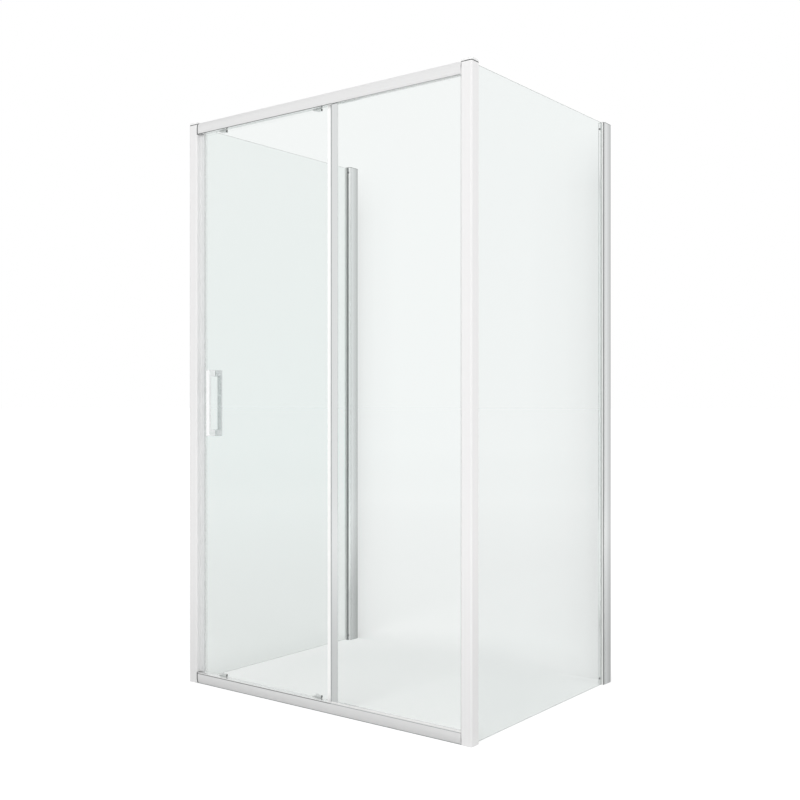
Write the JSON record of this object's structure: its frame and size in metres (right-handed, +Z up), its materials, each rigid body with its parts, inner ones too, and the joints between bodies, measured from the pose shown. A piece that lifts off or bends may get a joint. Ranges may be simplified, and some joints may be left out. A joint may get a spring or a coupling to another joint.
{
  "type": "shower enclosure",
  "caption": "Rectangular corner-post shower enclosure with glass sides, a fixed front pane and a front glass door that slides on grooved wheels.",
  "frame": {"origin": "middle of the bounding box, on the floor", "axes": "+X to the right of someone who faces the front from outside, +Y from the front into the enclosure towards the wall, +Z up"},
  "size_m": [1.18, 0.8974, 1.95],
  "materials": {
    "anodised_aluminium": "bright anodised, slightly satin",
    "bright_aluminium": "polished",
    "cap_plastic": "silver-grey moulding",
    "clear_glass": "clear toughened",
    "white_vinyl": "white extruded, soft",
    "magnet_vinyl": "pale grey extruded, soft",
    "handle_chrome": "plated",
    "soft_pad": "matt",
    "steel": "stainless",
    "bracket_plastic": "light grey moulding",
    "wheel_acetal": "white moulding"
  },
  "bodies": {
    "frame": {"left_post": "anodised_aluminium", "right_post": "anodised_aluminium", "left_post_cap": "cap_plastic", "right_post_cap": "cap_plastic", "top_rail": "anodised_aluminium", "bottom_rail": "anodised_aluminium", "corner_keys": "anodised_aluminium", "top_pocket_infill": "anodised_aluminium", "bottom_pocket_infill": "anodised_aluminium", "track_bumpers": "soft_pad", "strike_profile": "anodised_aluminium", "strike_magnet": "magnet_vinyl", "left_side_glass": "clear_glass", "right_side_glass": "clear_glass", "left_side_gaskets": "white_vinyl", "right_side_gaskets": "white_vinyl", "left_wall_channel": "bright_aluminium", "right_wall_channel": "bright_aluminium", "left_adjusting_profile": "bright_aluminium", "right_adjusting_profile": "bright_aluminium", "left_wall_cap": "cap_plastic", "right_wall_cap": "cap_plastic", "lock_screws": "steel", "setting_blocks": "white_vinyl", "fixed_glass": "clear_glass", "fixed_glass_gaskets": "white_vinyl", "fixed_edge_profile": "anodised_aluminium"},
    "door": {"door_glass": "clear_glass", "leading_seal": "magnet_vinyl", "trailing_seal": "white_vinyl", "outer_handle": "handle_chrome", "inner_handle": "handle_chrome", "handle_pads": "soft_pad", "handle_studs": "steel", "top_axles": "steel", "guide_bolts": "steel", "top_left_hanger": "bracket_plastic", "top_right_hanger": "bracket_plastic", "bottom_left_guide": "bracket_plastic", "bottom_right_guide": "bracket_plastic", "bottom_left_spring": "steel", "bottom_right_spring": "steel"},
    "top_left_wheel": {"top_left_wheel": "wheel_acetal"},
    "bottom_left_carriage": {"bottom_left_carriage": "bracket_plastic", "bottom_left_axle": "steel"},
    "bottom_left_wheel": {"bottom_left_wheel": "wheel_acetal"},
    "top_right_wheel": {"top_right_wheel": "wheel_acetal"},
    "bottom_right_carriage": {"bottom_right_carriage": "bracket_plastic", "bottom_right_axle": "steel"},
    "bottom_right_wheel": {"bottom_right_wheel": "wheel_acetal"}
  },
  "joints": [
    {"name": "door_slide", "type": "slide", "parent": "frame", "child": "door", "axis": [1, 0, 0], "range_m": [0, 0.475]},
    {"name": "top_left_wheel_spin", "type": "hinge", "parent": "door", "child": "top_left_wheel", "pos_m": [-0.445, -0.40585, 1.923], "axis": [0, 1, 0], "continuous": true},
    {"name": "bottom_left_release", "type": "slide", "parent": "door", "child": "bottom_left_carriage", "axis": [0, 0, -1], "range_m": [0, 0.004], "stiffness_N_per_m": 1500, "springref_m": -0.003, "deforming": ["bottom_left_spring"]},
    {"name": "bottom_left_wheel_spin", "type": "hinge", "parent": "bottom_left_carriage", "child": "bottom_left_wheel", "pos_m": [-0.445, -0.40585, 0.022], "axis": [0, 1, 0], "continuous": true},
    {"name": "top_right_wheel_spin", "type": "hinge", "parent": "door", "child": "top_right_wheel", "pos_m": [-0.013, -0.40585, 1.923], "axis": [0, 1, 0], "continuous": true},
    {"name": "bottom_right_release", "type": "slide", "parent": "door", "child": "bottom_right_carriage", "axis": [0, 0, -1], "range_m": [0, 0.004], "stiffness_N_per_m": 1500, "springref_m": -0.003, "deforming": ["bottom_right_spring"]},
    {"name": "bottom_right_wheel_spin", "type": "hinge", "parent": "bottom_right_carriage", "child": "bottom_right_wheel", "pos_m": [-0.013, -0.40585, 0.022], "axis": [0, 1, 0], "continuous": true}
  ],
  "couplings": [
    {"joint": "top_left_wheel_spin", "follows": "door_slide", "rad_per_m": 121.95},
    {"joint": "bottom_left_wheel_spin", "follows": "door_slide", "rad_per_m": -121.95},
    {"joint": "top_right_wheel_spin", "follows": "door_slide", "rad_per_m": 121.95},
    {"joint": "bottom_right_wheel_spin", "follows": "door_slide", "rad_per_m": -121.95}
  ]
}
